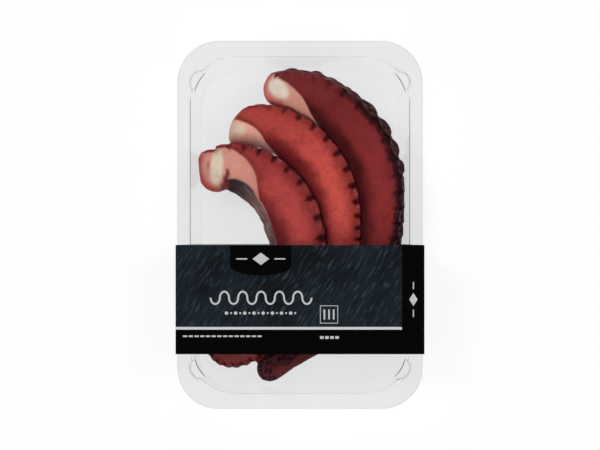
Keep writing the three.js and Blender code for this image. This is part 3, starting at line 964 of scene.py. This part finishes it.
def printShapes():
    low, middle, high = emblem["rise"]
    tab = emblem["tab"]
    centre = (tab["left"] + tab["right"]) / 2
    half = (tab["right"] - tab["left"]) / 2
    curve = arcPoints((centre, tab["sides"]), (half, tab["sides"] - tab["foot"]), 180, 360, 24)
    shapes = [inkShape([(tab["right"], sleeve["front"] - 0.1), (tab["left"], sleeve["front"] - 0.1), *curve],
                       low, middle, 2)]
    pale = []
    for key, upright in (("lozenge", False), ("strip", True)):
        x, y = emblem[key]["at"]
        wide, tall = emblem[key]["reach"]
        near, far = emblem[key]["rule"]
        pale.append([(x + wide, y), (x, y + tall), (x - wide, y), (x, y - tall)])
        for sign in (-1, 1):
            ends = sorted((sign * near, sign * far))
            if upright:
                pale.append(bar(x - 0.3, x + 0.3, y + ends[0], y + ends[1]))
            else:
                pale.append(bar(x + ends[0], x + ends[1], y - 0.35, y + 0.35))
    wave = emblem["wave"]
    for i in range(wave["count"]):
        sign = 1 if i % 2 else -1
        half = wave["pitch"] / 2
        at = (wave["left"] + half + i * wave["pitch"], wave["y"])
        outer = (half + wave["line"] / 2, sign * (wave["rise"] + wave["line"] / 2))
        inner = (half - wave["line"] / 2, sign * (wave["rise"] - wave["line"] / 2))
        pale.append(arcPoints(at, outer, 0, 180, 15) + arcPoints(at, inner, 180, 0, 15))
    dots = emblem["dots"]
    for i in range(dots["count"]):
        size = dots["sizes"][i % 2]
        pale.append(arcPoints((dots["left"] + i * dots["pitch"], dots["y"]), (size, size), 0, 330, 12))
    box = emblem["box"]
    left, right, foot, top, line = (box[key] for key in ("left", "right", "foot", "top", "line"))
    pale += [bar(left, right, foot, foot + line), bar(left, right, top - line, top)]
    pale += [bar(x, x + line, foot + line, top - line) for x in (left, right - line)]
    pale += [bar(x - 0.45, x + 0.45, foot + 2.2, top - 2.2) for x in box["bars"]]
    for x, y, count, pitch, length, thick in emblem["dashes"]:
        for start in [x + i * pitch for i in range(count)]:
            pale.append(bar(start, start + length, y - thick / 2, y + thick / 2))
    return shapes + [inkShape(corners, low, high, 4) for corners in pale]


def makeSleeve():
    points = softened(sleeve["outline"], 0.7, 4, closed=True)
    bpy.ops.mesh.primitive_circle_add(vertices=len(points), radius=mm)
    obj = bpy.context.object
    obj.name = obj.data.name = "sleeveBand"
    for vertex, (x, z) in zip(obj.data.vertices, points):
        vertex.co = (x * mm, sleeve["front"] * mm, z * mm)
    editAll()
    extrude(0, (sleeve["back"] - sleeve["front"]) * mm, 0)
    upper, lower = sleeve["line"]
    for at, direction in (((sleeve["slateEnd"], 0, 0), (1, 0, 0)), ((0, upper, 0), (0, 1, 0)),
                          ((0, lower, 0), (0, 1, 0))):
        bpy.ops.mesh.select_all(action="SELECT")
        bpy.ops.mesh.bisect(plane_co=Vector(at) * mm, plane_no=direction)
    bpy.ops.mesh.select_all(action="SELECT")
    bpy.ops.mesh.flip_normals()
    bpy.ops.object.mode_set(mode="OBJECT")
    for polygon in obj.data.polygons:
        x, y, _ = polygon.center / mm
        polygon.material_index = 2
        if x < sleeve["slateEnd"] and y > lower:
            polygon.material_index = 0 if y > upper else 1
    for material in (slateField(), plainInk("silverInk", "silver", 0.35), plainInk("blackInk", "ink", 0.45),
                     plainInk("bareBoard", "board", 0.8), plainInk("paleInk", "pale", 0.45)):
        obj.data.materials.append(material)
    applyModifier(obj, "SOLIDIFY", thickness=sleeve["board"] * mm, offset=-1.0, use_even_offset=True,
                  material_offset=3, material_offset_rim=3)
    shapes = printShapes()
    for shape in shapes:
        for material in obj.data.materials:
            shape.data.materials.append(material)
    obj = joinPieces([obj, *shapes], "sleeveBand")
    smoothShade(obj, 35)
    settle(obj, "sleeve")
    print("sleeve made")


def plainInk(name, colour, roughness):
    material, tree, shader, place = newMaterial(name)
    base = srgb(sleeve["looks"][colour])
    soft = noiseNode(tree, place, 900, 2)
    colour = mixColour(tree, mathNode(tree, "MULTIPLY", soft, 0.004), base, (0.5, 0.5, 0.5, 1))
    setInputs(shader, Base_Color=colour, Specular_IOR_Level=0.03, Roughness=roughness)
    roughen(tree, shader, noiseNode(tree, place, 1500, 3), 0.15, 0.05)
    return material


def slateField():
    material, tree, shader, place = newMaterial("slatePrint")
    turn = tree.nodes.new("ShaderNodeMapping")
    turn.vector_type = "TEXTURE"
    setInputs(turn, Vector=place, Rotation=(0, 0, math.radians(58)), Scale=(5.0, 0.9, 1.0))
    streaks = noiseNode(tree, turn.outputs[0], 620, 5, 0.6, 0.3)
    clouds = noiseNode(tree, place, 25, 2)
    looks = sleeve["looks"]
    colour = mixColour(tree, spread(tree, clouds, 0.35, 0.65), srgb(looks["slateDark"]), srgb(looks["slate"]))
    colour = mixColour(tree, mathNode(tree, "MULTIPLY", spread(tree, streaks, 0.5, 0.75), 0.5),
                       colour, srgb(looks["slateLight"]))
    colour = mixColour(tree, mathNode(tree, "MULTIPLY", spread(tree, streaks, 0.48, 0.3), 0.6),
                       colour, srgb(looks["slateDark"]))
    setInputs(shader, Base_Color=colour, Roughness=0.5, Specular_IOR_Level=0.06)
    return material


def cookedSkin():
    # skin with blotches, painted light and shade, cut flesh and suckers, mixed by the masks painted on each
    # arm
    sockets = {"place": "vector", "glow": "value"}
    sockets.update((tone, "colour") for tone in armInner["look"])
    sockets.update((mask, "value") for mask in masks)
    group, given, result = newGroup("cookedSkin", sockets,
                                    {"color": "colour", "roughness": "value", "height": "value"})

    def times(a, b):
        return mathNode(group, "MULTIPLY", a, b)

    def over(amount, under, top):
        return mixColour(group, amount, under, top)

    def ramp(value, low, high, newLow=0.0, newHigh=1.0):
        return spread(group, value, low, high, newLow, newHigh)

    blotches = noiseNode(group, given["place"], 70, 3, 0.55)
    mottle = noiseNode(group, given["place"], 420, 4, 0.62)
    grain = noiseNode(group, given["place"], 1500, 2, 0.5)

    # painted light and shade: the skin is painted brightest along the lit top of the arm and darker down its
    # sides, and it is also darker towards the cut end
    side = mathNode(group, "SUBTRACT", given["around"], given["glow"])
    side = mathNode(group, "ADD", side, times(mathNode(group, "SUBTRACT", blotches, 0.5), 0.1))
    paintedShade = mathNode(group, "MAXIMUM", ramp(side, 0.0, 0.12), ramp(side, -0.19, -0.02, 0.75, 0.0))
    paintedShade = mathNode(group, "MAXIMUM", paintedShade, ramp(given["along"], 0.14, 0.36, 0.45, 0.0))
    colour = over(paintedShade, given["skin"], given["deep"])
    colour = over(times(ramp(given["along"], 0.42, 0.72), 0.85), colour, given["tail"])
    colour = over(times(ramp(mottle, 0.4, 0.75), 0.35), colour, given["deep"])
    colour = over(times(ramp(blotches, 0.5, 0.72), 0.35), colour, given["deep"])
    # painted shade darkens the underside of the arm by the suckers
    colour = over(ramp(side, -0.25, -0.19, 0.75, 0.0), colour, given["edge"])
    # painted shade along the edge of the skin
    colour = over(given["seamShade"], colour, given["deep"])

    # cut flesh
    fleshTone = over(given["cream"], given["pinkFlesh"], given["creamFlesh"])
    fleshTone = over(times(ramp(mottle, 0.4, 0.75), 0.2), fleshTone, given["roseFlesh"])
    fleshTone = over(times(ramp(blotches, 0.45, 0.7), 0.16), fleshTone, given["roseFlesh"])
    fleshTone = over(ramp(given["along"], 0.14, 0.34, 0.0, 0.45), fleshTone, given["roseFlesh"])
    fleshTone = over(given["rose"], fleshTone, given["roseFlesh"])
    colour = over(given["flesh"], colour, fleshTone)

    # the side that the knife laid bare, streaked along the arm, with painted shade in its hollow near the cut
    # end
    lengthways = group.nodes.new("ShaderNodeCombineXYZ")
    setInputs(lengthways, X=times(given["along"], 12.0), Y=times(given["around"], 90.0))
    fibres = noiseNode(group, lengthways.outputs[0], 1, 4, 0.65)
    bare = flesh["bareTones"]
    flankTone = over(ramp(given["along"], 0.15, 0.32), srgb(bare["shade"]), srgb(bare["light"]))
    streak = times(ramp(fibres, 0.52, 0.66), ramp(given["along"], 0.14, 0.26))
    flankTone = over(times(streak, 0.75), flankTone, srgb(bare["streak"]))
    colour = over(given["flank"], colour, flankTone)
    # painted shade in the nick
    colour = over(times(given["nickShade"], 0.9), colour, srgb(bare["nickShade"]))

    # suckers, with pale painted glints of light on them
    sideTone = over(ramp(given["along"], 0.1, 0.24), given["suckerBase"], given["suckerSide"])
    colour = over(given["sucker"], colour, sideTone)
    cupTone = over(ramp(mottle, 0.42, 0.6, 0.0, 0.8), given["suckerCup"], sideTone)
    colour = over(given["cup"], colour, cupTone)
    glints = group.nodes.new("ShaderNodeTexVoronoi")
    setInputs(glints, Vector=given["place"], Scale=1500)
    glint = times(ramp(glints.outputs["Distance"], 0.42, 0.2), given["sucker"])
    glint = times(glint, ramp(mottle, 0.48, 0.6))
    colour = over(times(glint, 0.6), colour, srgb(flesh["glint"]))
    # painted shade round the feet of the suckers and in the creases between them
    colour = over(times(given["suckerShade"], 0.95), colour, given["edge"])

    rough = mathNode(group, "ADD", ramp(mottle, 0.3, 0.7, 0.4, 0.55), times(given["sucker"], -0.06))
    feed(result["color"], colour)
    feed(result["roughness"], rough)
    feed(result["height"], mathNode(group, "ADD", times(mottle, 0.8), times(grain, 0.3)))
    return group


def armMaterial(arm, skinGroup):
    material, tree, shader, place = newMaterial(arm["name"] + "Skin")
    node = tree.nodes.new("ShaderNodeGroup")
    node.node_tree = skinGroup
    setInputs(node, place=place, glow=arm["glow"] / 360)
    setInputs(node, **{tone: srgb(colour) for tone, colour in arm["look"].items()})
    for mask in masks:
        painted = tree.nodes.new("ShaderNodeAttribute")
        painted.attribute_name = mask
        feed(node.inputs[mask], painted.outputs["Fac"])
    setInputs(shader, Base_Color=node.outputs["color"], Roughness=node.outputs["roughness"])
    roughen(tree, shader, node.outputs["height"], 0.4, 0.4)
    setInputs(shader, Subsurface_Weight=0.1, Subsurface_Radius=(1.0, 0.35, 0.25), Subsurface_Scale=1.2 * mm,
              Specular_IOR_Level=0.06)
    return material


def makeArms():
    skinGroup = cookedSkin()
    master = makeSucker()
    cavity = loft("trayCavity", [(*level, 0) for level in tray["cavity"]])
    faceOut(cavity)
    above = []
    for arm in (armInner, armMiddle, armOuter):
        s = sectionsOf(arm, flesh["rings"])
        places = suckerPlaces(arm, s)
        obj = makeTube(arm, s)
        cutBy(obj, makeKnife(arm), "DIFFERENCE")
        addSuckers(arm, obj, places, master)
        cutBy(obj, makeTrimmer(arm), "DIFFERENCE")
        grown = copyPiece(obj, arm["name"] + "Grown")
        applyModifier(grown, "DISPLACE", strength=flesh["gap"] * mm, mid_level=0.0)
        for cutter in above:
            cutBy(obj, cutter, "DIFFERENCE", keep=True)
        above.append(grown)
        cutBy(obj, cavity, "INTERSECT", keep=True)
        evenSkin(arm, s, obj)
        paintArm(arm, s, places, obj)
        smoothShade(obj, 60)
        obj.data.materials.clear()
        obj.data.materials.append(armMaterial(arm, skinGroup))
        settle(obj, arm["node"])
        print(arm["name"], "made")
    for helper in above + [cavity, master]:
        bpy.data.objects.remove(helper)


makeTray()
makeArms()
makeSleeve()
makeFilm()

print("everything made")
